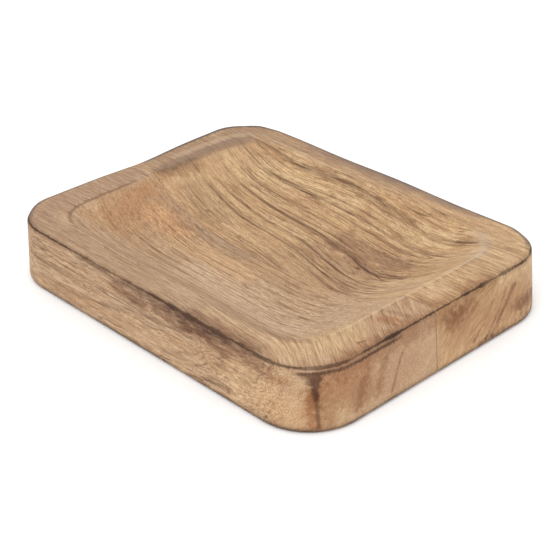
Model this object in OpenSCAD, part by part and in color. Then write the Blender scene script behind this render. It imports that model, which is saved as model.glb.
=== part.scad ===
// Coin tray: a shallow dish carved into a block that is glued up from two boards.
// Millimetres. The origin is under the middle of the block, on the table, and +X runs
// along the grain. The front board lies towards -Y and the back board towards +Y.

/* [Block] */
// Length of the block at its foot, along the grain
block_length = 132; // [110:1:170]
// Width of the block at its foot, across both boards
block_width = 100.6; // [84:0.2:130]
// Height of the block
block_height = 19.6; // [17:0.1:26]
// How far the sides lean in from the foot to the top
side_lean = 1.3; // [0:0.1:3]
// Radius of the four upright corners at the foot, seen from above
corner_radius = 17.4; // [10:0.2:24]
// Rounding of the edge around the top
top_arris = 1.3; // [0.6:0.1:2]
// Rounding of the edge around the underside
foot_arris = 1.6; // [0.6:0.1:2.4]

/* [Glue joint] */
// How far the joint lies from the middle of the block, towards the back
seam_offset = -2; // [-8:0.5:8]
// Thickness of the dried glue between the boards
glue_thickness = 0.15; // [0.1:0.05:0.3]

/* [Dish] */
// Width of the flat rim at the two ends
end_rim = 11.2; // [8:0.1:16]
// Width of the flat rim along the two long sides
side_rim = 8.8; // [8:0.1:16]
// Wood left under the deepest point of the dish
floor_thickness = 8.6; // [6:0.1:12]
// How square the dish's edge is, seen from above: 2 is an ellipse
edge_squareness = 8; // [4:0.5:10]
// How square the dish is at the middle of its floor
floor_squareness = 3.5; // [2:0.5:4]
// How flat the floor of the dish is before its sides rise
floor_flatness = 3.3; // [2.5:0.1:5]
// How gently the dish's sides meet the rim: 1 is a sharp meeting
lip_softness = 1.1; // [1:0.05:1.6]

/* [Hidden] */
$fn = 48;

wood_front = [0.71, 0.55, 0.39];
wood_back = [0.74, 0.58, 0.39];
dried_glue = [0.36, 0.25, 0.17];

seam_y = seam_offset;
front_width = block_width / 2 + seam_y - glue_thickness / 2;
back_width = block_width / 2 - seam_y - glue_thickness / 2;

dish_half_length = block_length / 2 - side_lean - end_rim;
dish_half_width = block_width / 2 - side_lean - side_rim;
dish_depth = block_height - floor_thickness;
cut_above = 2;
arris_steps = 6;
rings = 20;
rays_per_side = 24;
rays = 4 * rays_per_side;

// The rays from the dish's middle aim at points along a rectangle, closer together
// towards its corners, where the dish's edge bends most.
function spread(i) = sin(180 * i / rays_per_side - 90);
function side_aim(side, s) =
    side == 0 ? [1, s] :
    side == 1 ? [-s, 1] :
    side == 2 ? [-1, -s] :
                [s, -1];
function aim(ray) = side_aim(floor(ray / rays_per_side), spread(ray % rays_per_side));

// Seen from above, the dish is a set of superellipses, one inside the other, which
// grow squarer from the middle of the floor to the dish's edge. The share says where
// one lies: 0 is the middle, 1 is the edge.
function squareness(share) = floor_squareness + (edge_squareness - floor_squareness) * pow(share, 2);
// How far along an aim a superellipse of this squareness lies.
function reach(a, square) = pow(pow(abs(a.x), square) + pow(abs(a.y), square), -1 / square);
function dish_point(share, ray) =
    let (a = aim(ray), out = share * reach(a, squareness(share)))
    [a.x * dish_half_length * out, a.y * dish_half_width * out];

// Height of the carved surface at a share of the way from the middle to the edge.
function carved_height(share) =
    block_height - dish_depth * pow(1 - pow(share, floor_flatness), lip_softness);

// Points on an arc, from one angle to another.
function arc_points(centre, radius, from, to) = [
    for (step = [0:arris_steps])
        let (angle = from + (to - from) * step / arris_steps)
        centre + radius * [cos(angle), sin(angle)]
];

// The block's edge in section, from the underside up to the top: it leans in, and is
// rounded at the foot and at the top. It reaches this far out from the axis.
lean_angle = atan(side_lean / block_height);
function edge_points(out) =
    let (
        side_at = function(z) out - side_lean * z / block_height,
        // centre of a rounding that touches the leaning side
        rounding = function(radius, z) [side_at(z) - radius / cos(lean_angle), z]
    )
    concat(
        arc_points(rounding(foot_arris, foot_arris), foot_arris, -90, lean_angle),
        arc_points(rounding(top_arris, block_height - top_arris), top_arris, lean_angle, 90)
    );

// Half of the block in section, from its axis out to the edge.
module edge_section(out) {
    polygon(concat([[0, 0]], edge_points(out), [[0, block_height]]));
}

// The whole block in section, from end to end.
module long_section() {
    right_side = edge_points(block_length / 2);
    last = len(right_side) - 1;
    left_side = [for (i = [0:last]) [-right_side[last - i].x, right_side[last - i].y]];
    polygon(concat(right_side, left_side));
}

// A board before the dish is carved. Its glued face lies on y = 0, and it reaches
// to y = board_width.
module board_blank(board_width) {
    straight = block_length - 2 * corner_radius;
    post_y = board_width - corner_radius;
    // the part beside the glue, with the end grain at both ends
    translate([0, post_y, 0])
        rotate([90, 0, 0])
            linear_extrude(post_y)
                long_section();
    // the long edge between the two corners
    translate([-straight / 2, 0, 0])
        rotate([90, 0, 90])
            linear_extrude(straight)
                edge_section(board_width);
    // the two corners
    for (side = [0, 1])
        translate([(1 - 2 * side) * straight / 2, post_y, 0])
            rotate([0, 0, 90 * side])
                rotate_extrude(angle = 90)
                    edge_section(corner_radius);
}

// What the carver takes out: the dish, and the air above it.
module dish_space() {
    middle = [[0, 0, carved_height(0)]];
    carved = [
        for (ring = [1:rings], ray = [0:rays - 1])
            let (share = ring / rings, place = dish_point(share, ray))
            [place.x, place.y, carved_height(share)]
    ];
    mouth = [
        for (ray = [0:rays - 1])
            let (place = dish_point(1, ray))
            [place.x, place.y, block_height + cut_above]
    ];
    lid = [[0, 0, block_height + cut_above]];
    function at(ring, ray) = 1 + (ring - 1) * rays + ray % rays;
    lid_point = 1 + (rings + 1) * rays;
    floor_fan = [for (ray = [0:rays - 1]) [0, at(1, ray), at(1, ray + 1)]];
    walls = [
        for (ring = [1:rings], ray = [0:rays - 1], half = [0, 1])
            half == 0
                ? [at(ring, ray), at(ring + 1, ray), at(ring + 1, ray + 1)]
                : [at(ring, ray), at(ring + 1, ray + 1), at(ring, ray + 1)]
    ];
    lid_fan = [for (ray = [0:rays - 1]) [lid_point, at(rings + 1, ray + 1), at(rings + 1, ray)]];
    polyhedron(points = concat(middle, carved, mouth, lid), faces = concat(floor_fan, walls, lid_fan));
}

module board_front() {
    color(wood_front)
        difference() {
            translate([0, seam_y - glue_thickness / 2, 0])
                mirror([0, 1, 0])
                    board_blank(front_width);
            dish_space();
        }
}

module board_back() {
    color(wood_back)
        difference() {
            translate([0, seam_y + glue_thickness / 2, 0])
                board_blank(back_width);
            dish_space();
        }
}

// The dried glue fills the joint and was carved and sanded with the boards.
module glue_line() {
    color(dried_glue)
        difference() {
            translate([0, seam_y + glue_thickness / 2, 0])
                rotate([90, 0, 0])
                    linear_extrude(glue_thickness)
                        long_section();
            dish_space();
        }
}

board_front();
glue_line();
board_back();
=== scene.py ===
# %% [markdown]
# # A coin tray carved from two glued boards
#
# The tray is a rounded block of brown hardwood, 132 mm long, with a shallow dish
# carved into its top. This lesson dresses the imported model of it: the shapes are
# surfaces worked out with numpy, and the wood is a solid pattern that runs through
# the block, so that the grain on the top, the sides and the ends belongs together.
#
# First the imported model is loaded. It is the fixed frame that everything sits in.

# %% Load the frame
import math

import bpy
import numpy as np
from mathutils import Matrix, Vector


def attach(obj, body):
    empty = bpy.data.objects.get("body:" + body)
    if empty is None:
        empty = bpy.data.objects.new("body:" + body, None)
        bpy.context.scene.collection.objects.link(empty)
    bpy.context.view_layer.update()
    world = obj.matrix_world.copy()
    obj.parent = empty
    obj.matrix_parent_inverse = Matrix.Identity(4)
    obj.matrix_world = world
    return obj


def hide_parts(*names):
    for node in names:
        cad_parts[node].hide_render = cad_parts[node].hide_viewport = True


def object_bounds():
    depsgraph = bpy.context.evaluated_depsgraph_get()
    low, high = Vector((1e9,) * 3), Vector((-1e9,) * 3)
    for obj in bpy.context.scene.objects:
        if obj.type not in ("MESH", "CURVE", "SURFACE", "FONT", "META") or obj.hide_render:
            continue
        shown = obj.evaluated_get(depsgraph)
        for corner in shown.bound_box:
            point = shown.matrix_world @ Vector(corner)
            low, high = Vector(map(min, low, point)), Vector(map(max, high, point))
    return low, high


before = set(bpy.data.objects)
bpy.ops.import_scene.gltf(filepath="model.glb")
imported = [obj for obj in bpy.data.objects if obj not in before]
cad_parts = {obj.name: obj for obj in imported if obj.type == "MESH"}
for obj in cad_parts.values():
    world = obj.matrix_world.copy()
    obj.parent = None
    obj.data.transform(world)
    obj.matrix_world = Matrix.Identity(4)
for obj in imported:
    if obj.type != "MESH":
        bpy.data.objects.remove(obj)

cad_low, cad_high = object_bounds()
MM = 0.001
length, width, height = (cad_high - cad_low) / MM
print("CAD box in mm:", round(length, 2), round(width, 2), round(height, 2))

# %% [markdown]
# The camera comes next, because every finish is judged through it. The tray is seen
# from its front right corner, 30 degrees above the table, through a long lens, so that
# its edges converge only a little. It is placed as a photographer thinks of it: where
# it looks, from which side, how high and how far away.

# %% Camera
VIEW_SIDE = math.radians(47.33)  # turned from straight in front, towards the right
VIEW_RISE = math.radians(30.14)
VIEW_TILT = math.radians(-1.66)
VIEW_DISTANCE = 433.5
AIM_RIGHT, AIM_UP = 1.72, 1.61
LENS, SENSOR_WIDTH = 93.48, 36


def put_in_scene(name, data):
    """A new object with this data."""
    thing = bpy.data.objects.new(name, data)
    bpy.context.scene.collection.objects.link(thing)
    return thing


def place_camera():
    """The camera looks along minus 'back', which comes from the side and rise angles.
    It is moved sideways and up by the aim, then tilted about its own line of sight."""
    back = Vector((
        math.sin(VIEW_SIDE) * math.cos(VIEW_RISE),
        -math.cos(VIEW_SIDE) * math.cos(VIEW_RISE),
        math.sin(VIEW_RISE),
    ))
    right = Vector((math.cos(VIEW_SIDE), math.sin(VIEW_SIDE), 0))
    up = back.cross(right)
    place = (back * VIEW_DISTANCE + right * AIM_RIGHT + up * AIM_UP) * MM
    tilted_right = math.cos(VIEW_TILT) * right + math.sin(VIEW_TILT) * up
    tilted_up = back.cross(tilted_right)
    turn = Matrix((tilted_right, tilted_up, back)).transposed().to_4x4()
    data = bpy.data.cameras.new("camera")
    data.lens = LENS
    data.sensor_width = SENSOR_WIDTH
    camera = put_in_scene("camera", data)
    camera.matrix_world = Matrix.Translation(place) @ turn
    bpy.context.scene.camera = camera
    return camera


camera = place_camera()
print("camera at", [round(x, 4) for x in camera.matrix_world.translation])

# %% [markdown]
# ## The shape of the dish
#
# Seen from above, a carved dish like this one is a family of rounded rectangles, one
# inside the other. They can be drawn as superellipses, whose squareness grows from the
# middle of the floor to the edge. A point's share says how far out it lies: 0 in the
# middle, 1 on the edge. The depth then only depends on the share. The share has no
# closed formula here, so it is guessed and corrected, for all points at once.

# %% The dish as a formula
SIDE_LEAN = 1.3  # the walls lean in by this much from the foot to the top
TOP_ARRIS, FOOT_ARRIS = 1.3, 1.6
END_RIM, SIDE_RIM = 11.2, 8.8
FLOOR_THICKNESS = 8.6
EDGE_SQUARENESS, FLOOR_SQUARENESS = 8.0, 3.5
FLOOR_FLATNESS, LIP_SOFTNESS = 3.3, 1.1
foot_tuck = SIDE_LEAN * FOOT_ARRIS / height  # what the rounded foot takes off the leaning wall
foot_half_length, foot_half_width = length / 2 + foot_tuck, width / 2 + foot_tuck
dish_half_length = foot_half_length - SIDE_LEAN - END_RIM
dish_half_width = foot_half_width - SIDE_LEAN - SIDE_RIM
dish_depth = height - FLOOR_THICKNESS
RELAXING_STEPS, NEARLY_NOTHING = 40, 1e-7


def share_of(x, y):
    """The share s for which (|x/a|/s)^p + (|y/b|/s)^p = 1, where the power p itself is
    the squareness at s: floor + (edge - floor) times s squared. Found by relaxation."""
    across_x = np.abs(x / dish_half_length) + NEARLY_NOTHING
    across_y = np.abs(y / dish_half_width) + NEARLY_NOTHING
    share = np.maximum(across_x, across_y)
    for _ in range(RELAXING_STEPS):
        power = FLOOR_SQUARENESS + (EDGE_SQUARENESS - FLOOR_SQUARENESS) * np.minimum(share, 1) ** 2
        share = 0.5 * share + 0.5 * (across_x**power + across_y**power) ** (1 / power)
    return share


def dish_height(x, y):
    """Height of the carved surface: the top of the block less the dish's depth times
    (1 - share^flatness)^softness, so the floor is flat and the sides swing up to the lip."""
    share = np.minimum(share_of(x, y), 1)
    return height - dish_depth * (1 - share**FLOOR_FLATNESS) ** LIP_SOFTNESS


print("deepest point of the dish at z =", round(dish_height(np.zeros(1), np.zeros(1))[0], 2))

# %% [markdown]
# ## The boards
#
# Each board is one closed surface with two parameters. One runs along the board's
# outline from the glue joint round to the glue joint again. The other runs along a
# section: from the middle of the underside outwards, round the foot arris, up the wall,
# round the top arris, across the rim, over the lip and down to the middle of the dish.
# The flat glued face closes it. A subdivision surface would round the joint's edges off,
# so the grid itself is made fine enough for the smallest roundings.

# %% Outline
CORNER_RADIUS = 17.4
SEAM_Y = -2.0
GLUE_THICKNESS = 0.15
STEPS_AROUND = 440
HALVING_STEPS = 30


def outline(around, joint_y):
    """Half of a rounded rectangle, from the joint at the +X end to the joint at the -X end.
    A core point and a direction are read off along the outline's length: on straight
    stretches the core moves, on corners the direction turns. A point is the core plus
    the radius times the direction."""
    core_x = foot_half_length - CORNER_RADIUS
    core_y = foot_half_width - CORNER_RADIUS
    arc = math.pi / 2 * CORNER_RADIUS
    steps = np.cumsum([0, core_y - joint_y, arc, 2 * core_x, arc, core_y - joint_y])
    at = around * steps[-1]
    x = np.interp(at, steps, [core_x, core_x, core_x, -core_x, -core_x, -core_x])
    y = np.interp(at, steps, [joint_y, core_y, core_y, core_y, core_y, joint_y])
    turn = np.interp(at, steps, [0, 0, math.pi / 2, math.pi / 2, math.pi, math.pi])
    return x, y, np.cos(turn), np.sin(turn)


def lip_fraction(start_x, start_y, joint_y):
    """How far along the line from the joint's middle to the rim's outer edge the dish's
    edge is crossed. The share grows along that line, so the place is found by halving."""
    low, high = np.zeros_like(start_x), np.ones_like(start_x)
    for _ in range(HALVING_STEPS):
        middle = (low + high) / 2
        inside = share_of(start_x * middle, joint_y + (start_y - joint_y) * middle) < 1
        low = np.where(inside, middle, low)
        high = np.where(inside, high, middle)
    return low


print("the corners turn round x =", round(foot_half_length - CORNER_RADIUS, 2))

# %% [markdown]
# The section is carried round the outline. A rounded edge is an arc whose radius may
# change along the edge, because sandpaper takes more away in one place than in another.
# The steps lie closer together towards the lip, where the dish bends most.

# %% Section
ARRIS_WEAR = 0.25  # share by which sanding has varied the top arris
WEAR_X, WEAR_Y, WEAR_STRETCH = 9, 4, 7  # how fast it varies round corners and along sides
UNDER_STEPS, FOOT_STEPS, WALL_STEPS, ARRIS_STEPS, RIM_STEPS, DISH_STEPS = 6, 6, 16, 9, 24, 120
DISH_CROWDING = 1.35  # above 1, the steps crowd at the lip
lean_angle = math.atan(SIDE_LEAN / height)


def board_surface(joint_y, side):
    """Grid of points (around, section, xyz) in mm. side is +1 for the back board and -1
    for the front board, which is worked out mirrored. A ring of the grid is the outline,
    drawn in by an inset and lifted to a height; both follow the section: flat underside,
    arc, leaning wall, arc, flat rim, and then the dish's own height on the way to its middle."""
    around = np.linspace(0, 1, STEPS_AROUND)
    joint = joint_y * side
    core_x, core_y, out_x, out_y = outline(around, joint)

    def ring(inset, z):
        x = core_x + (CORNER_RADIUS - inset) * out_x
        y = core_y + (CORNER_RADIUS - inset) * out_y
        return np.stack([x, y, np.broadcast_to(z, x.shape)], -1)

    def rounding(radius, centre_z, turn):
        centre_inset = SIDE_LEAN * centre_z / height + radius / math.cos(lean_angle)
        return ring(centre_inset - radius * math.cos(turn), centre_z + radius * math.sin(turn))

    wear = 1 + ARRIS_WEAR * np.sin(WEAR_X * out_x + WEAR_Y * out_y + core_x / WEAR_STRETCH)
    top_radius = TOP_ARRIS * wear
    foot_start = rounding(FOOT_ARRIS, FOOT_ARRIS, -math.pi / 2)
    rim_start = rounding(top_radius, height - top_radius, math.pi / 2)
    middle = np.array([0.0, joint, 0.0])
    under_parts = np.linspace(0, 1, UNDER_STEPS, endpoint=False)
    rings = [middle + (foot_start - middle) * part for part in under_parts]
    for turn in np.linspace(-math.pi / 2, lean_angle, FOOT_STEPS):
        rings.append(rounding(FOOT_ARRIS, FOOT_ARRIS, turn))
    wall_foot, wall_top = rings[-1], rounding(top_radius, height - top_radius, lean_angle)
    for part in np.linspace(0, 1, WALL_STEPS + 2)[1:-1]:
        rings.append(wall_foot + (wall_top - wall_foot) * part)
    for turn in np.linspace(lean_angle, math.pi / 2, ARRIS_STEPS):
        rings.append(rounding(top_radius, height - top_radius, turn))
    to_lip = lip_fraction(rim_start[:, 0], rim_start[:, 1], joint)[:, None]
    lip_point = middle + (rim_start - middle) * to_lip
    lip_point[:, 2] = height
    for part in np.linspace(0, 1, RIM_STEPS + 1)[1:]:
        rings.append(rim_start + (lip_point - rim_start) * part)
    for part in np.linspace(0, 1, DISH_STEPS + 1)[1:] ** DISH_CROWDING:
        place = lip_point + (middle - lip_point) * part
        place[:, 2] = dish_height(place[:, 0], place[:, 1])
        rings.append(place)
    grid = np.stack(rings, 1)
    grid[:, :, 1] *= side
    return grid


print("the walls lean in by", round(math.degrees(lean_angle), 2), "degrees")

# %% [markdown]
# A board that was carved and sanded by hand isn't quite true. The rim at the left end
# sags where the two boards meet, and the whole top is a little wavy. This only ever
# takes wood away, so the boards stay inside their real size, and it depends on the
# place alone, so that the two boards still meet at the joint.

# %% Hand work
SAG_PLACE, SAG_DEPTH = (-66.0, 3.0), 0.9
SAG_LENGTH, SAG_WIDTH = 4.0, 12.0
WAVE_HEIGHT = 0.12
LONG_WAVE, CROSS_WAVE, SLANT_X, SLANT_Y = 13, 17, 29, 11
WAVE_START, WAVE_REST = 1.1, 0.4
TOP_ONLY = 4  # the higher this is, the less the foot is touched


def hand_work(points):
    """Lowers points by a bump exp(-(dx/a)^2 - (dy/b)^2) at the sag and by slow sine waves,
    both in full at the top and not at all at the foot."""
    x, y, z = points[..., 0], points[..., 1], points[..., 2]
    from_sag_x, from_sag_y = (x - SAG_PLACE[0]) / SAG_LENGTH, (y - SAG_PLACE[1]) / SAG_WIDTH
    sag = SAG_DEPTH * np.exp(-(from_sag_x**2) - from_sag_y**2)
    long_wave = np.sin(x / LONG_WAVE + WAVE_START) * np.cos(y / CROSS_WAVE)
    slant_wave = np.sin(y / SLANT_Y - x / SLANT_X)
    wave = WAVE_HEIGHT / 2 * (2 + long_wave + slant_wave - WAVE_REST)
    worked = points.copy()
    worked[..., 2] -= (sag + np.clip(wave, 0, None)) * np.clip(z / height, 0, 1) ** TOP_ONLY
    return worked


sagged = hand_work(np.array([*SAG_PLACE, height]))
print("the rim is lowest at the sag, z =", round(sagged[2], 2))

# %% [markdown]
# The grid becomes a mesh: quads between the rings, a fan of triangles at the middle of
# the underside and at the middle of the dish, and one flat polygon for the glued face.
# Three distances along the section are stored with each point, because the marks on
# the edges follow the edges: from the top arris, from the foot arris and from the lip.

# %% Mesh
LARGEST_SMOOTH_FACE = 4
first_arris = UNDER_STEPS + FOOT_STEPS + WALL_STEPS
LANDMARKS = {
    "from_foot_edge": UNDER_STEPS + FOOT_STEPS // 2,
    "from_top_edge": first_arris + ARRIS_STEPS // 2,
    "from_lip": first_arris + ARRIS_STEPS + RIM_STEPS - 1,
}


def skin(grid, side):
    """Vertices and faces of a closed board, whose first and last ring are single points."""
    around, section, _ = grid.shape
    inner = grid[:, 1:-1].reshape(-1, grid.shape[-1])
    points = np.concatenate([grid[:1, 0], inner, grid[:1, -1]])
    row = section - 2
    index = 1 + np.arange(around * row).reshape(around, row)
    first, last = 0, len(points) - 1
    a, b = index[:-1], index[1:]
    quads = np.stack([a[:, :-1], b[:, :-1], b[:, 1:], a[:, 1:]], -1).reshape(-1, 4)
    under = np.stack([np.full(around - 1, first), b[:, 0], a[:, 0]], -1)
    floor = np.stack([np.full(around - 1, last), a[:, -1], b[:, -1]], -1)
    glued = np.concatenate([[first], index[0], [last], index[-1][::-1]])
    faces = quads.tolist() + under.tolist() + floor.tolist() + [glued.tolist()]
    if side > 0:
        return points, faces
    return points, [face[::-1] for face in faces]


def with_distances(grid):
    """Adds to each point its distance along the section from each landmark: the running
    length of the section there, less the running length at the landmark."""
    strides = np.linalg.norm(np.diff(grid, axis=1), axis=2)
    run = np.concatenate([np.zeros((len(grid), 1)), np.cumsum(strides, axis=1)], axis=1)
    along = [run - run[:, at : at + 1] for at in LANDMARKS.values()]
    return np.concatenate([grid, np.stack(along, -1)], axis=2)


def make_piece(name, points, faces):
    """A mesh object from rows of x, y, z and distances, all in mm. It is smooth all over
    but for its flat glued face."""
    mesh = bpy.data.meshes.new(name)
    mesh.from_pydata((points[:, :3] * MM).tolist(), [], faces)
    mesh.polygons.foreach_set("use_smooth", [len(face) <= LARGEST_SMOOTH_FACE for face in faces])
    for column, landmark in enumerate(LANDMARKS):
        layer = mesh.attributes.new(landmark, "FLOAT", "POINT")
        layer.data.foreach_set("value", np.ascontiguousarray(points[:, 3 + column], dtype=np.float32))
    mesh.update()
    print(name, "has", len(mesh.vertices), "vertices and", len(mesh.polygons), "faces")
    return put_in_scene(name, mesh)


def make_board(name, joint_y, side):
    """One board: the swept section, skinned, and then worked by hand."""
    grid = with_distances(board_surface(joint_y, side))
    points, faces = skin(grid, side)
    points[:, :3] = hand_work(points[:, :3])
    return make_piece(name, points, faces)


board_front = make_board("front_board", SEAM_Y - GLUE_THICKNESS / 2, -1)
board_back = make_board("back_board", SEAM_Y + GLUE_THICKNESS / 2, 1)

# %% [markdown]
# The glue is a film between the boards. On the real tray it is seen as a hairline on
# the end and across the rim. It has the same outline as the glued faces, so it is made
# from the two sections that bound them: a loop round the block's length, given the
# film's thickness.

# %% Glue film
def make_film(name):
    """The loop of section points at the joint, laid once on each side of the film, with
    quads between the two loops and a flat polygon on each side."""
    grid = with_distances(board_surface(SEAM_Y, 1))
    loop = np.concatenate([grid[0], grid[-1][-2:0:-1]])
    sides = []
    for half in (-GLUE_THICKNESS / 2, GLUE_THICKNESS / 2):
        moved = loop.copy()
        moved[:, 1] = SEAM_Y + half
        sides.append(moved)
    points = np.concatenate(sides)
    count = len(loop)
    at = np.arange(count)
    after = (at + 1) % count
    band = np.stack([after, after + count, at + count, at], -1)
    faces = band.tolist() + [at.tolist(), (at + count)[::-1].tolist()]
    points[:, :3] = hand_work(points[:, :3])
    return make_piece(name, points, faces)


glue_film = make_film("glue_film")

# %% [markdown]
# ## Wood as a solid pattern
#
# Shader nodes are laid out by a few helpers, so that a pattern reads like a sum. What
# is given to an input is either a number, which is set there, or another node's output,
# which is wired to it. A new node goes into the tree that its inputs come from.

# %% Laying out nodes
def is_output(value):
    return isinstance(value, bpy.types.NodeSocket)


def fill(tree, sockets, inputs):
    """Wires or sets each named input."""
    for name, value in inputs.items():
        if is_output(value):
            tree.links.new(value, sockets[name])
        else:
            sockets[name].default_value = value


def node(kind, inputs, output=0, tree=None, **settings):
    """Adds a node and returns one of its outputs."""
    tree = tree or next(filter(is_output, inputs.values())).id_data
    added = tree.nodes.new("ShaderNode" + kind)
    for name, setting in settings.items():
        setattr(added, name, setting)
    fill(tree, added.inputs, inputs)
    return added.outputs[output]


def reckon(operation, *values):
    return node("Math", dict(enumerate(values)), operation=operation)


def add(first, *others):
    for other in others:
        first = reckon("ADD", first, other)
    return first


def times(first, *others):
    for other in others:
        first = reckon("MULTIPLY", first, other)
    return first


def ramp(value, low, high, start=0.0, end=1.0):
    """A smooth step: start below low, end above high."""
    inputs = {"Value": value, "From Min": low, "From Max": high, "To Min": start, "To Max": end}
    return node("MapRange", inputs, interpolation_type="SMOOTHSTEP")


# %% [markdown]
# Places, directions and colours have three parts, and helpers of their own. Noise takes
# the size of its lumps in millimetres, because real wood can be measured.

# %% Vectors, noise and blends
def vectors(operation, first, second, output=0):
    return node("VectorMath", {0: first, 1: second}, output, operation=operation)


def join(x, y, z):
    return node("CombineXYZ", {0: x, 1: y, 2: z})


def split(vector):
    return node("SeparateXYZ", {0: vector}).node.outputs


def noise(place, size, detail=2.0, roughness=0.5):
    """Smooth noise round 0.5, from 0 to 1, whose lumps have a size along x, y and z."""
    scaled = vectors("MULTIPLY", place, [1 / part for part in size])
    inputs = {"Vector": scaled, "Scale": 1.0, "Detail": detail, "Roughness": roughness}
    return node("TexNoise", inputs)


def blend(share, first, second, mode="MIX"):
    inputs = {0: share, 6: first, 7: second}
    return node("Mix", inputs, 2, data_type="RGBA", blend_type=mode)


# %% [markdown]
# Tones are named as they look on a screen. A shader reckons with amounts of light, so
# each tone is turned into these.

# %% Colours
def colour(red, green, blue):
    """Turns a colour from 0 to 255 on the screen into the linear values of a shader."""
    seen = [channel / 255 for channel in (red, green, blue)]
    return (*[((c + 0.055) / 1.055) ** 2.4 if c > 0.04045 else c / 12.92 for c in seen], 1.0)


print("128 on the screen is", round(colour(128, 128, 128)[0], 3), "in the shader")

# %% [markdown]
# What both boards share is a node group: it is built once, and each material places it
# with its own values, or leaves an input at its default.

# %% Groups
class Group:
    """A node group. Its inputs and outputs are given as names with defaults: a number, or
    three numbers for a vector."""

    def __init__(self, name, inputs, outputs):
        self.tree = bpy.data.node_groups.new(name, "ShaderNodeTree")
        for in_out, sockets in ("INPUT", inputs), ("OUTPUT", outputs):
            for socket, default in sockets.items():
                kind = "NodeSocketVector" if isinstance(default, tuple) else "NodeSocketFloat"
                added = self.tree.interface.new_socket(socket, in_out=in_out, socket_type=kind)
                added.default_value = default
        self.given = self.tree.nodes.new("NodeGroupInput").outputs
        self.result = self.tree.nodes.new("NodeGroupOutput").inputs

    def give(self, **results):
        fill(self.tree, self.result, results)

    def use(self, inputs):
        """Places the group in the tree that its inputs come from. Returns its outputs."""
        return node("Group", inputs, node_tree=self.tree).node.outputs

    def report(self):
        print("group", self.tree.name, "has", len(self.tree.nodes), "nodes")


# %% [markdown]
# A tree grows in sleeves, and a board is cut from a few of them. So the whole figure of
# a board comes from one number: which sleeve a point lies in, counted in millimetres
# across the board's width. The sleeves lean over as they go down, which moves the lines
# where the dish cuts deeper, and they sweep towards the front as they run along the
# tray. Slow noise keeps the lines from being ruled, and where a board has a curly
# figure, more of it bends them to and fro.

# %% Growth rings
LEAN_CHANGES = 15, 60  # where along the tray the lean goes over from left to right
FADES = 8, 24  # where across the tray the sweep fades
TURNS = 42, 72  # where along it the rings turn away towards a corner
SLOW_NOISE, SLOW_SHIFT = (46, 18, 18), 3.2  # size of its lumps, and how far it moves a sleeve
QUICK_NOISE, QUICK_SHIFT = (9, 2.6, 2.6), 0.3
CURL_NOISE, CENTRED = (13, 5, 5), -0.5
growth = Group("growth_rings", {
    "Place": (0, 0, 0), "Lean Left": 0.3, "Lean Right": 0.65, "Sweep": 9.3, "Sweep Start": -12.0,
    "Sweep End": 36.0, "Fade To": 1.0, "Corner Sweep": 0.0, "Curl": 0.0,
}, {"Ring": 0.0, "Grain": (0, 0, 0)})
given = growth.given
place = given["Place"]
x, y, z = split(place)
lean = ramp(x, *LEAN_CHANGES, given["Lean Left"], given["Lean Right"])
leaned = reckon("SUBTRACT", y, times(lean, add(z, -height)))
sweep = ramp(x, given["Sweep Start"], given["Sweep End"], 0.0, given["Sweep"])
fade = ramp(y, *FADES, 1.0, given["Fade To"])
corner = ramp(x, *TURNS, 0.0, given["Corner Sweep"])
slow = times(add(noise(place, SLOW_NOISE, detail=0.5), CENTRED), SLOW_SHIFT)
quick = times(add(noise(place, QUICK_NOISE), CENTRED), QUICK_SHIFT)
curls = times(add(noise(place, CURL_NOISE, detail=0.3), CENTRED), given["Curl"])
ring = add(leaned, times(sweep, fade), corner, slow, quick, curls)
growth.give(Ring=ring, Grain=join(x, ring, z))
growth.report()

# %% [markdown]
# Inside the sleeves run the fibres and the vessels. Both follow the grain, so they are
# noise that is drawn out along the tray and measured by the ring number across it.
# Where a wall of the dish or an end of the tray cuts the fibres across, the streaks
# shorten to dots by themselves.

# %% Fibres and vessels
FIBRES = {
    # pattern: (length, thickness, detail, where it starts and where it is full)
    "Broad": (45, 4, 2, 0.3, 0.7),
    "Lines": (42, 1.2, 4, 0.52, 0.66),
    "Streaks": (12, 0.55, 3, 0.45, 0.64),
    "Fine": (4, 0.34, 2, 0.41, 0.62),
    "Vessels": (3.4, 0.45, 1, 0.62, 0.7),
    "Grit": (0.5, 0.4, 1, 0.35, 0.65),
}
FIBRE_ROUGHNESS = 0.62
patterns = dict.fromkeys([*FIBRES, "Threads"], 0.0)
fibres = Group("fibres_and_vessels", {"Grain": (0, 0, 0), "Upright": 0.8}, patterns)
x, ring, z = split(fibres.given["Grain"])
grain = join(x, ring, times(z, fibres.given["Upright"]))
for pattern, (long, thick, detail, start, full) in FIBRES.items():
    drawn_out = noise(grain, (long, thick, thick), detail, FIBRE_ROUGHNESS)
    fibres.give(**{pattern: ramp(drawn_out, start, full)})
print("fibre patterns:", *FIBRES)

# %% [markdown]
# The finest growth lines look like the height lines of a map, so that is how they are
# made: a smooth field drawn out along the grain, with a line at each of many heights.
# Slow noise lets them come and go.

# %% Threads
THREAD_FIELD, THREAD_COUNT = (120, 6, 12), 74
THREAD_LINE = 0.03, 0.4, 1.0, 0.0  # a ramp: from, to, and its values there
BREAK_NOISE, BREAKS = (22, 2.2, 2.2), (0.42, 0.62)
field = noise(grain, THREAD_FIELD, detail=1.0, roughness=0.4)
heights = reckon("ABSOLUTE", reckon("SINE", times(field, THREAD_COUNT)))
comes_and_goes = ramp(noise(grain, BREAK_NOISE), *BREAKS)
fibres.give(Threads=times(ramp(heights, *THREAD_LINE), comes_and_goes))
fibres.report()

# %% [markdown]
# Stains, smudges, drops and single dark lines are all strokes: a straight line between
# two points in the wood, with a thickness and a ragged, soft edge. Inside the core the
# mark is full, and at its reach it ends. It can narrow towards its end, as a drop does
# that has run down. Where both points are the same, the stroke is a spot.

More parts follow.
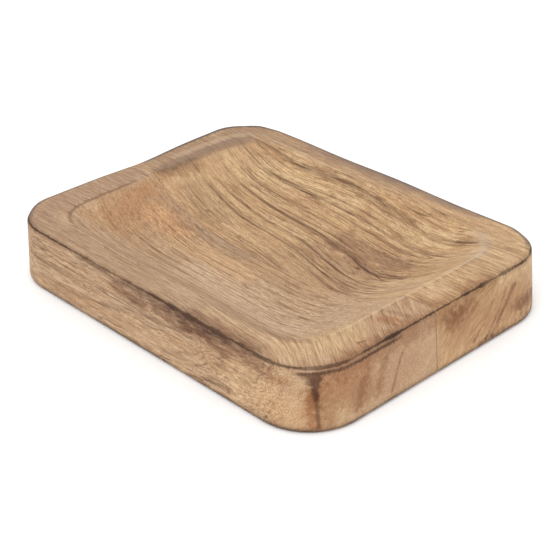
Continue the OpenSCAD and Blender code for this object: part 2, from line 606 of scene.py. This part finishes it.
# %% Strokes
NOT_ZERO = 0.0001  # on a spot the division below would be by zero
strokes = Group("stroke", {
    "Place": (0, 0, 0), "Crumble": 0.5, "Start": (0, 0, 0), "End": (1, 0, 0), "Core": 0.2,
    "Reach": 1.0, "Ragged": 0.5, "Narrow": 0.0,
}, {"Mask": 0.0})
given = strokes.given
run = vectors("SUBTRACT", given["End"], given["Start"])
offset = vectors("SUBTRACT", given["Place"], given["Start"])
along = vectors("DOT_PRODUCT", offset, run, "Value")
whole = add(vectors("DOT_PRODUCT", run, run, "Value"), NOT_ZERO)
share = node("Clamp", {"Value": reckon("DIVIDE", along, whole)})
nearest = node("VectorMath", {0: run, "Scale": share}, operation="SCALE")
apart = vectors("DISTANCE", offset, nearest, "Value")
crumbled = times(add(given["Crumble"], CENTRED), given["Ragged"], given["Reach"], 2.0)
apart = add(apart, crumbled, times(share, given["Narrow"]))
strokes.give(Mask=ramp(apart, given["Core"], given["Reach"], 1.0, 0.0))
strokes.report()

# %% [markdown]
# The maker has scorched the edges with a flame, which leaves a dark line on each arris
# and browner wood beside it. The line swells, thins out and almost stops along the
# edge, so its width and its strength come from noise along the tray.

# %% Scorched edges
SWELL_NOISE, SWELLS = (8, 8, 8), (0.35, 0.65)
STRENGTH_NOISE, STRENGTHS = (14, 14, 14), (0.36, 0.58, 0.5, 1.0)
LINE_CRUMBLE, CRUMBLES_BY = (1.6, 0.8, 0.8), 0.8
THINNEST, SWOLLEN, THICKENED = 0.02, 0.12, 0.55  # half the line's width, and what is added
LINE_EDGE, THICK_EDGE = 0.36, 0.1  # how soft its edge is
HALO_CORE, HALO_REACH, THICK_HALO = 0.1, 1.6, 1.8
FOOT_LINE, FOOT_HALO = (0.2, 1.4, 0.75, 0.0), (0.4, 2.4, 0.7, 0.0)
scorch_inputs = {"Place": (0, 0, 0), "From Top": 0.0, "From Foot": 0.0, "Thick": 0.0}
scorch = Group("scorched_edges", scorch_inputs, {"Line": 0.0, "Halo": 0.0})
place, thick = scorch.given["Place"], scorch.given["Thick"]
swell = ramp(noise(place, SWELL_NOISE), *SWELLS)
strength = ramp(noise(place, STRENGTH_NOISE), *STRENGTHS)
strength = reckon("MAXIMUM", strength, thick)
crumble = times(add(noise(place, LINE_CRUMBLE, detail=3.0), CENTRED), CRUMBLES_BY)
from_top = reckon("ABSOLUTE", add(scorch.given["From Top"], crumble))
from_foot = reckon("ABSOLUTE", add(scorch.given["From Foot"], crumble))
half_width = add(times(swell, SWOLLEN), times(thick, swell, THICKENED), THINNEST)
line_end = add(half_width, times(thick, THICK_EDGE), LINE_EDGE)
top_line = times(ramp(from_top, half_width, line_end, 1.0, 0.0), strength)
foot_line = times(ramp(from_foot, *FOOT_LINE), strength)
halo_end = add(times(thick, THICK_HALO), HALO_REACH)
top_halo = ramp(from_top, HALO_CORE, halo_end, 1.0, 0.0)
halo = reckon("MAXIMUM", top_halo, ramp(from_foot, *FOOT_HALO))
scorch.give(Line=reckon("MAXIMUM", top_line, foot_line), Halo=times(halo, strength))
scorch.report()

# %% [markdown]
# Each board now gets its own wood from these groups. The strong dark lines of a board
# are set one by one, as a list of places across the board, because a few such lines
# are what the eye remembers of a piece of wood. They end up in one colour ramp over
# the ring number, which may hold 32 stops: three for each line and one at either end.

# %% Ring lines
RING_SPAN = 64  # how many mm of rings the ramp covers
LINE_RISE = 0.25  # a line's sharp side, in mm
BACK_LINES = (
    # place across the board, how dark, how far the colour trails off behind it
    (5, 0.3, 0.8), (13.4, 1, 1.1), (15, 0.55, 0.6), (18.1, 0.85, 1), (19.9, 0.45, 0.6),
    (23.7, 0.95, 1.1), (28.3, 0.65, 0.9), (33.4, 0.9, 0.9), (38.5, 1, 1), (43.5, 0.45, 0.8),
)
FRONT_LINES = (
    (6, 0.25, 0.9), (10.5, 0.45, 1), (16, 0.55, 1), (19.4, 0.3, 0.8), (23, 0.45, 1),
    (28.6, 0.4, 0.9), (33, 0.5, 1), (38.2, 0.4, 0.9), (43.6, 0.45, 1), (48.8, 0.45, 1),
)


def ring_lines(ring, start, lines):
    """A colour ramp over the ring number: each line rises at once and trails off."""
    share = times(add(ring, -start), 1 / RING_SPAN)
    output = node("ValToRGB", {0: share})
    stops = output.node.color_ramp.elements
    for place, dark, trail in lines:
        for at, tone in ((place - LINE_RISE, 0.0), (place, dark), (place + trail, 0.0)):
            stops.new(at / RING_SPAN).color = (tone, tone, tone, 1)
    stops[0].color = stops[-1].color = (0, 0, 0, 1)
    return output


print("dark lines:", len(BACK_LINES), "and", len(FRONT_LINES))

# %% [markdown]
# A board's material is laid out in the order in which it came about: the wood's own
# tone, stains that lie in the wood, the grain, and then what has happened to the
# surface. Painted highlights and painted shade are laid in with the stains, the edge
# marks and the smudges. A class holds what every stage reads: the place in the wood in
# millimetres, the distances from the edges, and the noise that makes marks crumble.

# %% What a board's stages read
MARK_CRUMBLE = 5, 1.8, 1.8
RIM_HEIGHT = 19.6  # where marks on the rim lie


def stored(name, tree):
    """A distance that was stored with the points."""
    return node("Attribute", {}, "Fac", tree, attribute_name=name)


class Timber:
    """The node tree of one board's material. A stroke's shape is a start, an end, a core,
    a reach and a raggedness. A point without a height lies on the rim. A reach given as
    a pair narrows by its second number."""

    def __init__(self, name):
        self.material = bpy.data.materials.new(name)
        self.material.use_nodes = True
        self.tree = self.material.node_tree
        self.place = vectors("MULTIPLY", node("TexCoord", {}, "Object", self.tree), [1 / MM] * 3)
        self.crumble = noise(self.place, MARK_CRUMBLE, detail=3.0, roughness=0.65)
        self.edges = {edge: stored(edge, self.tree) for edge in LANDMARKS}

    def stroke(self, start, end, core, reach, ragged):
        start, end = [(*point, RIM_HEIGHT)[:3] for point in (start, end)]
        reach, narrow = reach if isinstance(reach, tuple) else (reach, 0.0)
        return strokes.use({
            "Place": self.place, "Crumble": self.crumble, "Start": start, "End": end,
            "Core": core, "Reach": reach, "Ragged": ragged, "Narrow": narrow,
        })["Mask"]

    def plus_strokes(self, total, marks):
        """Adds strokes to a value, each times the amount that ends its row."""
        for *shape, amount in marks:
            total = add(total, times(self.stroke(*shape), amount))
        return total


# %% [markdown]
# The grain is drawn in layers over the base tone, from long lines to single pores. It
# is strongest on the long sides and in the dish. On the sanded rim it is fainter, and
# where the surface faces along the tray, the fibres are cut across and nearly vanish.
# Strokes called lively make it stronger or weaker in one place.

# %% Grain
PAST_LIP, WITHIN_ARRIS = (-2.5, -0.5, 0.55, 0.0), (-0.5, 0.5)  # ramps that bound the rim
CUT_ACROSS = 0.15, 0.65, 0.0, 0.9  # a ramp over how far the surface faces along the tray
LAYER = {"Lines": 0.58, "Streaks": 0.4, "Fine": 0.42, "Grit": 0.27, "Vessels": 0.38}
CUT_STREAKS, CUT_FINE = -0.3, -0.18  # what cut fibres take off these layers
BROKEN_BY, BROKEN_REST = 0.5, 0.55  # the streaks break the ring lines up


def grained(timber, surface, grown, fine, wood):
    """Blends the line and dark tones into the surface, layer by layer."""
    dark, line_tone = wood["tones"][2:]
    past_lip = ramp(timber.edges["from_lip"], *PAST_LIP)
    on_rim = times(past_lip, ramp(timber.edges["from_top_edge"], *WITHIN_ARRIS))
    facing = split(node("TexCoord", {}, "Normal", timber.tree))[0]
    cut = ramp(reckon("ABSOLUTE", facing), *CUT_ACROSS)
    strong = reckon("SUBTRACT", 1.0, reckon("MAXIMUM", on_rim, cut))
    strong = timber.plus_strokes(strong, wood["lively"])
    streaks = times(fine["Streaks"], add(times(cut, CUT_STREAKS), LAYER["Streaks"]))
    finest = times(fine["Fine"], add(times(cut, CUT_FINE), LAYER["Fine"]))
    broken = add(times(fine["Streaks"], BROKEN_BY), BROKEN_REST)
    lined = ring_lines(grown["Ring"], wood["ring_start"], wood["lines"])
    for share, tone in (
        (times(fine["Lines"], strong, LAYER["Lines"]), line_tone),
        (streaks, dark),
        (finest, dark),
        (times(fine["Grit"], LAYER["Grit"]), dark),
        (times(fine["Threads"], strong, wood["thread_share"]), line_tone),
        (times(lined, broken, strong), line_tone),
        (times(fine["Vessels"], strong, LAYER["Vessels"]), line_tone),
    ):
        surface = blend(share, surface, tone)
    return surface


# %% [markdown]
# There are three kinds of marks. Stains are mixed in below the grain. Edge marks keep to
# a band beside the lip or an arris, and only between the ends of their stroke. Smudges
# lie over everything and multiply, so that the grain still shows through them. Some
# marks of each kind are painted highlights and painted shade, not marks in the wood.

# %% Marks
STREAKY = 0.8  # how far the streaks push the border of an edge mark to and fro


def marked(timber, surface, marks, mode="MIX"):
    """Strokes of start, end, core, reach, raggedness, colour and strength."""
    for *shape, tone, strength in marks:
        share = times(timber.stroke(*shape), strength)
        surface = blend(share, surface, colour(*tone), mode)
    return surface


def edge_marked(timber, surface, fine, marks):
    """As above, listed by edge, with two distances from it and their softness in front."""
    for edge, rows in marks.items():
        for low, high, soft, *shape, tone, strength in rows:
            away = add(timber.edges[edge], times(fine["Streaks"], soft * STREAKY))
            inside = times(ramp(away, low - soft, low), ramp(away, high, high + soft, 1.0, 0.0))
            share = times(inside, timber.stroke(*shape), strength)
            surface = blend(share, surface, colour(*tone))
    return surface


# %% [markdown]
# The scorched line comes last, and then the finish. Oiled wood is matt, and its pores
# stay open, so the relief goes down where the vessels and fine fibres are. The tones
# are as seen on a stage that is lit a little brighter than white, so they are scaled.

# %% Scorching and finish
HALO_TONE, BURNT_TONE, HALO_SHARE = colour(108, 74, 50), colour(66, 43, 28), 0.45
LIGHT_SHARE = 0.8
GLOSS, ROUGHNESS, FINE_ROUGHENS = 0.22, 0.58, 0.1
VESSEL_RELIEF, FINE_RELIEF = -1.0, -0.4
RELIEF_STRENGTH, RELIEF_DEPTH = 0.35, 0.0001  # the depth is in metres


def scorched(timber, surface, thick_marks):
    """thick_marks are strokes with an amount, where the line on the top arris is broader."""
    burnt = scorch.use({
        "Place": timber.place, "Thick": timber.plus_strokes(0.0, thick_marks),
        "From Top": timber.edges["from_top_edge"], "From Foot": timber.edges["from_foot_edge"],
    })
    surface = blend(times(burnt["Halo"], HALO_SHARE), surface, HALO_TONE)
    return blend(burnt["Line"], surface, BURNT_TONE)


def finish(timber, surface, fine):
    """Wires the shader up, and sets what is the same all over on the shader itself."""
    vessels, finest = fine["Vessels"], fine["Fine"]
    relief = add(times(vessels, VESSEL_RELIEF), times(finest, FINE_RELIEF))
    bump = {"Strength": RELIEF_STRENGTH, "Distance": RELIEF_DEPTH, "Height": relief}
    fill(timber.tree, timber.tree.nodes["Principled BSDF"].inputs, {
        "Base Color": vectors("MULTIPLY", surface, [LIGHT_SHARE] * 3),
        "Roughness": add(times(finest, FINE_ROUGHENS), ROUGHNESS),
        "Normal": node("Bump", bump),
        "Specular IOR Level": GLOSS,
    })


# %% [markdown]
# With these stages a board is one call with a table of values. Its tones are given in
# the order light, middle, dark and line.

# %% Wood
def make_wood(name, wood):
    """Lays out a board's material from its table of values."""
    timber = Timber(name)
    curl = timber.plus_strokes(0.0, wood["curly"])
    grown = growth.use({"Place": timber.place, "Curl": curl, **wood["rings"]})
    fine = fibres.use({"Grain": grown["Grain"], "Upright": wood["upright"]})
    light, middle = wood["tones"][:2]
    surface = blend(fine["Broad"], middle, light)
    surface = marked(timber, surface, wood["stains_and_painted_light"])
    surface = grained(timber, surface, grown, fine, wood)
    surface = edge_marked(timber, surface, fine, wood["edge_marks_and_highlights"])
    surface = marked(timber, surface, wood["smudges_and_shadow"], "MULTIPLY")
    surface = scorched(timber, surface, wood["thick_scorch"])
    finish(timber, surface, fine)
    print(name, "has", len(timber.tree.nodes), "nodes")
    return timber.material


# %% [markdown]
# ## The back board
#
# Marks are placed one by one, because they follow no rule. The stains come first. Round
# the middle of the dish this board is darker and more purple, and beside that are pale
# patches, where the carving has opened lighter rings. The list of stains also holds
# painted light: a painted highlight high on the far wall of the dish at the right, and
# painted shade that darkens the rim towards the left end.

# %% Stains of the back board
JOINT_TONE, PURPLE_BROWN = (206, 168, 128), (134, 98, 78)
ALONG_JOINT = (-52, -2, 14), (45, -2, 10), 1, 8, 0.6, JOINT_TONE, 0.7
back_stains_and_painted_light = [
    # start, end, core, reach, raggedness, colour, strength
    ALONG_JOINT,
    ((8, 20, 10), (33, 19, 11), 1, 7, 0.8, PURPLE_BROWN, 0.6),
    ((4, 12, 9), (32, 12, 9), 1, 8, 0.8, PURPLE_BROWN, 0.45),
    # painted highlight, high on the far wall of the dish
    ((26, 33, 15), (38, 34, 16), 1, 5, 0.5, (240, 210, 162), 0.6),
    ((-46, 1, 15), (-42, 0, 14), 0.5, 5, 0.5, (224, 186, 146), 0.5),
    ((-40, 31, 15), (0, 35, 14), 1, 6, 0.5, (242, 211, 164), 0.6),
    ((36, 2, 12), (48, 8, 16), 1, 9, 0.5, (220, 186, 150), 0.5),
    ((65.5, 10, 9), (64, 34, 9), 2, 10, 0.5, (208, 164, 124), 0.6),
    ((0, 4, 9), (30, 2, 9), 1, 9, 0.5, (190, 156, 124), 0.5),
    ((-44, 8, 14), (-30, 4, 10), 1, 7, 0.6, (150, 124, 98), 0.4),
    ((66, 3, 16), (66, 6, 14), 1, 7, 0.5, (160, 112, 76), 0.6),
    # these two rows darken the rim towards the left end: painted shade
    ((-60, 4, 19), (-56, 42, 19), 2, 9, 0.4, (176, 148, 120), 0.8),
    ((-56, 44, 19), (10, 47, 19), 1, 8, 0.4, (184, 154, 124), 0.7),
]
print(len(back_stains_and_painted_light), "stains_and_painted_light")

# %% [markdown]
# Along the lip and the top arris the wood is darker or paler in bands. The thin pale
# bands right on the lip are painted highlights, where the rounded lip catches the light.
# Each row says between which distances from its edge a band lies, and how soft its
# borders are. Then its stroke says where it begins and ends.

# %% Edge marks of the back board
# The pale lip tone below is a painted highlight, where the rounded lip catches the light.
LIP_HIGHLIGHT = 218, 188, 152
back_edge_marks_and_highlights = {
    # low, high, softness, start, end, core, reach, raggedness, colour, strength
    "from_lip": [
        (-5.6, -3.4, 0.8, (-58, 16), (-56, 36), 2, 9, 0.8, (206, 178, 148), 0.35),
        (-2, 1.2, 1.6, (-55, 5), (-52, 35), 2, 7, 0.7, (142, 115, 94), 0.75),
        # painted highlight along the lip at the right end
        (-0.3, 0.4, 0.5, (53, -2), (52, 28), 2, 8, 0.5, LIP_HIGHLIGHT, 0.45),
        (-1.5, 1.5, 1.5, (51, 30), (46, 36), 1, 7, 0.5, (196, 172, 144), 0.6),
    ],
    "from_top_edge": [
        (0.8, 2.6, 3.6, (-20, 49), (30, 49), 2, 18, 0.8, (124, 102, 88), 0.75),
        (-0.2, 1.2, 0.8, (-46, 49), (54, 48), 4, 12, 0.6, (116, 98, 90), 0.7),
        (-0.2, 1.7, 0.9, (-65, 12), (-60, 44), 5, 14, 0.6, (98, 84, 78), 0.9),
    ],
}
print("marks", *back_edge_marks_and_highlights)

# %% [markdown]
# Smudges of smoke and thin dark threads lie over the end of the board. The first smudge
# is a painted shadow, where the dish's wall starts beside the joint at the left end. A
# thread that bends is made of two strokes.

# %% Smudges on the back board
# The smoke tone below also darkens a painted shadow in the dish.
SMOKE_AND_SHADOW, THREAD = (176, 152, 142), (140, 112, 96)
back_smudges_and_shadow = [
    # painted shadow where the dish's wall starts beside the joint
    ((-52.5, 1, 19), (-50.5, 14, 18.4), 0.2, 4.4, 0.8, SMOKE_AND_SHADOW, 0.6),
    ((65.5, 2, 12), (65, 34, 10), 2, 9, 0.5, (232, 224, 216), 0.8),
    ((64.5, -1, 19), (64, 20, 19), 1.5, 5.5, 0.6, (218, 204, 192), 0.75),
    ((66, 16, 0.8), (64, 40, 0.8), 0.2, 3, 0.8, SMOKE_AND_SHADOW, 0.8),
    ((61.5, 0), (58, -1), 0.1, 3.2, 0.8, SMOKE_AND_SHADOW, 0.5),
    ((65.5, 13.1, 3.2), (64.8, 19, 9), 0.05, 0.8, 0.8, THREAD, 0.6),
    ((64.8, 19, 9), (64.5, 23.1, 15.2), 0.05, 0.8, 0.8, THREAD, 0.5),
    ((65.8, 18.1, 2.2), (65, 23.4, 8), 0.05, 0.8, 0.8, THREAD, 0.65),
    ((65, 23.4, 8), (64.9, 27.1, 14.3), 0.05, 0.8, 0.8, THREAD, 0.5),
    ((65.8, 21.2, 2.2), (64.9, 30.6, 14.3), 0.1, 1.4, 0.8, SMOKE_AND_SHADOW, 0.7),
    ((65.6, 4, 14), (65.3, 12, 15), 0.1, 4.5, 0.8, (214, 190, 176), 0.7),
    ((66, 33, 7), (63, 42, 6), 0.2, 4.5, 0.8, SMOKE_AND_SHADOW, 0.8),
]
print(len(back_smudges_and_shadow), "smudges_and_shadow")

# %% [markdown]
# Now the board can be laid out. It is the livelier of the two: its rings sweep towards
# the front in the right half of the dish, and hardly move at the back, where the sweep
# fades out.

# %% The back board
back_wood = {
    "tones": (colour(228, 194, 150), colour(212, 174, 130), colour(134, 90, 54), colour(86, 54, 36)),
    "rings": {"Fade To": 0.28},
    "ring_start": 0.0,
    "lines": BACK_LINES,
    "upright": 0.2,
    "thread_share": 0.62,
    "curly": [((10, 50, 8), (30, 50, 10), 3, 14, 0.4, 2)],
    "lively": [
        ((4, 16, 9), (34, 17, 10), 3, 12, 0.4, 0.35),
        # this row weakens the grain under the painted highlight on the far wall
        ((28, 33, 15), (36, 34, 16), 1, 7, 0.4, -0.6),
        ((59, -2), (58, 16), 2, 9, 0.5, -0.3),
    ],
    "stains_and_painted_light": back_stains_and_painted_light,
    "edge_marks_and_highlights": back_edge_marks_and_highlights,
    "smudges_and_shadow": back_smudges_and_shadow,
    "thick_scorch": [
        ((65, 12), (65, 30), 0.5, 6, 0.5, 0.7),
        ((63, 36, 19), (60, 44, 19), 0.2, 5, 0.4, 0.5),
        ((65, -2, 19), (65, 7, 19), 1, 5, 0.4, -0.5),
    ],
}
wood_back = make_wood("wood_back", back_wood)

# %% [markdown]
# ## The front board
#
# The front board is made in the same way. Its stains are warmer: an orange patch lies at
# the left of the dish, and low on its side is a pale one at the right. Its last two rows
# are painted shade, which darkens the rim towards the left end.

# %% Stains of the front board
front_stains_and_painted_light = [
    ALONG_JOINT,
    ((-50, -9, 17), (-46, -22, 14), 1, 13, 0.6, (184, 132, 86), 0.65),
    ((-9, -22, 11), (40, -30, 13), 2, 12, 0.5, (234, 203, 168), 0.8),
    ((-44, -5, 12), (-8, -4, 9), 0.5, 6, 0.6, (164, 140, 118), 0.5),
    ((50, -37, 19), (56, -28, 19), 2, 11, 0.3, (224, 189, 142), 0.85),
    ((34, -8, 10), (46, -18, 14), 1, 11, 0.4, (218, 184, 150), 0.7),
    ((66, -12, 10), (66, -26, 10), 2, 14, 0.4, (196, 156, 124), 0.6),
    ((-56, -4), (-54, -9), 0.3, 4, 0.4, (214, 184, 152), 0.7),
    ((65, -38, 14), (65, -30, 16), 1, 9, 0.4, (192, 142, 102), 0.6),
    ((38, -50, 9), (50, -49, 8), 2, 8, 0.5, (240, 202, 156), 0.75),
    ((50, -49, 7), (57, -48, 6), 2, 8, 0.5, (220, 178, 132), 0.6),
    ((-40, -10, 13), (-32, -10, 11), 1, 8, 0.6, (228, 172, 120), 0.6),
    ((-28, -12, 10), (0, -12, 9), 1, 8, 0.6, (228, 184, 134), 0.5),
    # these two rows darken the rim towards the left end: painted shade
    ((-60, -4, 19), (-58, -40, 19), 2, 9, 0.4, (182, 152, 124), 0.75),
    ((-56, -44, 19), (16, -46, 19), 1, 8, 0.4, (184, 154, 124), 0.7),
]
print(len(front_stains_and_painted_light), "stains_and_painted_light")

# %% [markdown]
# This board carries the mark that the eye goes to first, a drop that has run down its
# right corner. It is made of three strokes, each narrower than the one above it, and
# begins under the arris, because the rim above is clean.

# %% Edge marks of the front board
DROP = 98, 66, 48
front_edge_marks_and_highlights = {
    "from_lip": [
        (-0.1, 0.3, 0.6, (-53, -14), (-50, -37), 2, 9, 0.3, (112, 82, 64), 0.6),
        (-1, 0.8, 0.8, (24, -40), (46, -38), 2, 9, 0.4, (140, 108, 82), 0.5),
        # painted highlight along the lip at the right end
        (-0.3, 0.4, 0.5, (53.5, -2), (52.4, -24), 2, 8, 0.5, LIP_HIGHLIGHT, 0.45),
    ],
    "from_top_edge": [
        (-0.2, 1, 0.9, (-65, -2), (-60, -44), 3, 12, 0.8, (118, 102, 92), 0.7),
        (-1.7, -1.1, 0.5, (60.5, -43, 18), (64.8, -20, 18), 1, 7, 0.5, (82, 54, 42), 0.85),
        (-15, -1.5, 0.5, (60.6, -43.8, 18.2), (61.3, -43.4, 12), 1.4, (4.9, 3.4), 0.45, DROP, 0.8),
        (-15, -1.7, 0.5, (61.1, -43.5, 16), (61.6, -43.3, 10.6), 0.3, (1.9, 0.5), 0.4, DROP, 0.7),
        (-19, -1.7, 0.5, (61.6, -43.3, 11.5), (62.3, -43.2, 2), 0.05, 1.1, 0.5, DROP, 0.6),
        (-0.9, -0.7, 0.3, (60, -44, 18), (64.8, -28, 18), 2, 6, 0.3, (196, 164, 138), 0.5),
    ],
}
print("marks", *front_edge_marks_and_highlights)

# %% [markdown]
# Soot lies under the front arris, where the flame has licked, and rusty spots and two
# pinkish streaks are on the rim and the end.

# %% Smudges on the front board
SOOT, RUST, PINK_BROWN = (120, 96, 88), (216, 176, 150), (214, 192, 176)
front_smudges = [
    ((-30, -49.6, 18.8), (34, -49.6, 18.4), 0.1, 2.2, 0.8, SOOT, 0.55),
    ((6, -49.6, 17), (26, -49.6, 16.2), 0.2, 4.2, 0.7, SMOKE_AND_SHADOW, 0.75),
    ((12, -49.6, 18), (36, -49.4, 18.4), 0.1, 1.8, 0.9, SOOT, 0.5),
    ((60.9, -44.2, 11), (61.4, -44.2, 3), 0.3, 3, 0.8, (230, 204, 182), 0.7),
    ((61.6, -43.5, 11), (62.6, -42.4, 3), 1, 6, 0.6, (220, 204, 190), 0.8),
    ((62, -42, 12), (65, -30, 8), 2, 7, 0.5, (226, 212, 198), 0.8),
    ((64.5, -40, 18), (65, -3, 18), 1.5, 5.5, 0.6, (214, 196, 184), 0.8),
    ((26, -49.4, 15.8), (35, -49.4, 13.8), 0.1, 3.6, 1, SMOKE_AND_SHADOW, 0.5),
    ((-12, -49.4, 16.5), (0, -49.4, 15), 0.2, 3.6, 0.7, SMOKE_AND_SHADOW, 0.7),
    ((18.6, -50.2, 1.1), (28, -49.9, 3.4), 0.05, 0.7, 1.2, THREAD, 0.5),
    ((28, -49.9, 3.4), (37, -49.9, 4.4), 0.05, 0.7, 1.2, THREAD, 0.4),
    ((35.8, -50, 3.5), (35.8, -50, 3.4), 0.1, 1.2, 0.4, THREAD, 0.5),
    ((18, -49.4, 16.8), (46, -49.2, 17.2), 0.4, 4.6, 0.9, SMOKE_AND_SHADOW, 0.65),
    ((51, -48.8, 15.2), (54, -48.2, 14.5), 0.1, 2.6, 0.8, RUST, 0.6),
    ((57.5, -14.5), (60, -13), 0.1, 3.4, 0.8, RUST, 0.8),
    ((61.5, -9), (56.5, -10.6), 0.1, 1.8, 0.8, SMOKE_AND_SHADOW, 0.5),
    ((20, -47), (44, -47), 0.2, 3.6, 0.5, SMOKE_AND_SHADOW, 0.7),
    ((60.8, -27), (61.4, -25.5), 0.05, 0.8, 0.8, SMOKE_AND_SHADOW, 0.8),
    ((65.6, -19.7, 3.3), (65, -16.5, 10.9), 0.05, 0.8, 0.8, SMOKE_AND_SHADOW, 0.6),
    ((65, -16.5, 10.9), (64.8, -14.6, 13.9), 0.05, 0.8, 0.8, SMOKE_AND_SHADOW, 0.5),
    ((65.8, -24.7, 6), (65, -22, 14), 0.2, 2.4, 0.8, PINK_BROWN, 0.7),
    ((65.8, -32, 5), (65, -29, 13), 0.2, 2.4, 0.8, PINK_BROWN, 0.7),
]
print(len(front_smudges), "smudges_and_shadow")

# %% [markdown]
# This board is plainer and a little greyer than the other. Its rings are steeper and
# turn away round the corner, and low on its side the figure is curly.

# %% The front board
front_wood = {
    "tones": (colour(220, 187, 150), colour(203, 166, 128), colour(136, 98, 68), colour(96, 64, 44)),
    "rings": {
        "Lean Left": 0.42, "Lean Right": 0.42, "Sweep": 5, "Sweep Start": 5, "Sweep End": 66,
        "Corner Sweep": 12,
    },
    "ring_start": -52.0,
    "lines": FRONT_LINES,
    "upright": 0.7,
    "thread_share": 0.45,
    "curly": [((6, -51, 8), (38, -51, 9), 3, 14, 0.2, 5.5)],
    "lively": [
        ((-62, -50, 15), (-20, -50, 13), 2, 7, 0.4, 0.35),
        ((38, -50, 9), (50, -49, 9), 2, 8, 0.4, -0.5),
    ],
    "stains_and_painted_light": front_stains_and_painted_light,
    "edge_marks_and_highlights": front_edge_marks_and_highlights,
    "smudges_and_shadow": front_smudges,
    "thick_scorch": [
        ((16, -49), (46, -49), 0.2, 11, 0.5, 0.8),
        ((61, -44, 19), (64.8, -18, 19), 0.2, 4, 0.5, 0.5),
    ],
}
wood_front = make_wood("wood_front", front_wood)

# %% [markdown]
# Dried glue darkens with dirt where it is cut across on the end face. In the dish and
# on the rim it was sanded with the boards and can hardly be told from them.

# %% Dried glue
GLUE_ON_TOP, GLUE_ON_END = colour(182, 147, 114), colour(116, 82, 58)
GLUE_TURNS = -1.0, 0.5, 1.0, 0.0  # a ramp over the distance from the top arris
glue = bpy.data.materials.new("dried_glue")
glue.use_nodes = True
tree = glue.node_tree
on_wall = ramp(stored("from_top_edge", tree), *GLUE_TURNS)
toned = vectors("MULTIPLY", blend(on_wall, GLUE_ON_TOP, GLUE_ON_END), [LIGHT_SHARE] * 3)
fill(tree, tree.nodes["Principled BSDF"].inputs, {"Base Color": toned})
print("dried_glue has", len(tree.nodes), "nodes")

# %% [markdown]
# Each piece gets its material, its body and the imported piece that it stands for.

# %% Dress the pieces
for piece, cad_node, slot, material in (
    (board_front, "board_front", "wood_front", wood_front),
    (board_back, "board_back", "wood_back", wood_back),
    (glue_film, "glue_line", "dried_glue", glue),
):
    piece.data.materials.append(material)
    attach(piece, "root")
    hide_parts(cad_node)
    print(piece.name, "stands for", cad_node)

# %% [markdown]
# The tray stands on matt white paper, as for a catalogue photograph. The paper lies a
# hair under it, because two faces in one place would flicker.

# %% Floor
FLOOR_REACH, FLOOR_GAP = 3.0, 0.00002
PAPER_WHITE = 0.9
mesh = bpy.data.meshes.new("floor")
corners = [(x * FLOOR_REACH, y * FLOOR_REACH, 0) for x, y in ((-1, -1), (1, -1), (1, 1), (-1, 1))]
mesh.from_pydata(corners, [], [(0, 1, 2, 3)])
floor = put_in_scene("floor", mesh)
floor.location.z = -FLOOR_GAP
paper = bpy.data.materials.new("white_paper")
paper.use_nodes = True
fill(paper.node_tree, paper.node_tree.nodes["Principled BSDF"].inputs, {
    "Base Color": (PAPER_WHITE, PAPER_WHITE, PAPER_WHITE, 1), "Roughness": 1, "Specular IOR Level": 0})
mesh.materials.append(paper)
print("the paper is", 2 * FLOOR_REACH, "m wide")

# %% [markdown]
# The room's own light is a little brighter than white, so that the paper comes out
# white, and one large window at the front right gives the soft shadow along the foot.

# %% Light
ROOM_LIGHT = 1.12
WINDOW_PLACE, WINDOW_SIZE, WINDOW_POWER = (0.35, -0.55, 0.85), 0.7, 4.5
world = bpy.data.worlds.new("studio")
world.use_nodes = True
fill(world.node_tree, world.node_tree.nodes["Background"].inputs, {
    "Color": (1, 1, 1, 1), "Strength": ROOM_LIGHT})
bpy.context.scene.world = world
lamp = bpy.data.lights.new("window", "AREA")
lamp.size, lamp.energy = WINDOW_SIZE, WINDOW_POWER
window = put_in_scene("window", lamp)
window.location = WINDOW_PLACE
window.rotation_euler = (-Vector(WINDOW_PLACE)).to_track_quat("-Z", "Y").to_euler()
bpy.context.scene.view_settings.view_transform = "Standard"
print("room light", ROOM_LIGHT, "and a window of", WINDOW_SIZE, "m")

# %% [markdown]
# Last, the scene is brought up to date. The finished pieces must stay inside the imported
# model's box, because a visual model that sticks out would touch things that it shouldn't.

# %% Finish
bpy.context.view_layer.update()
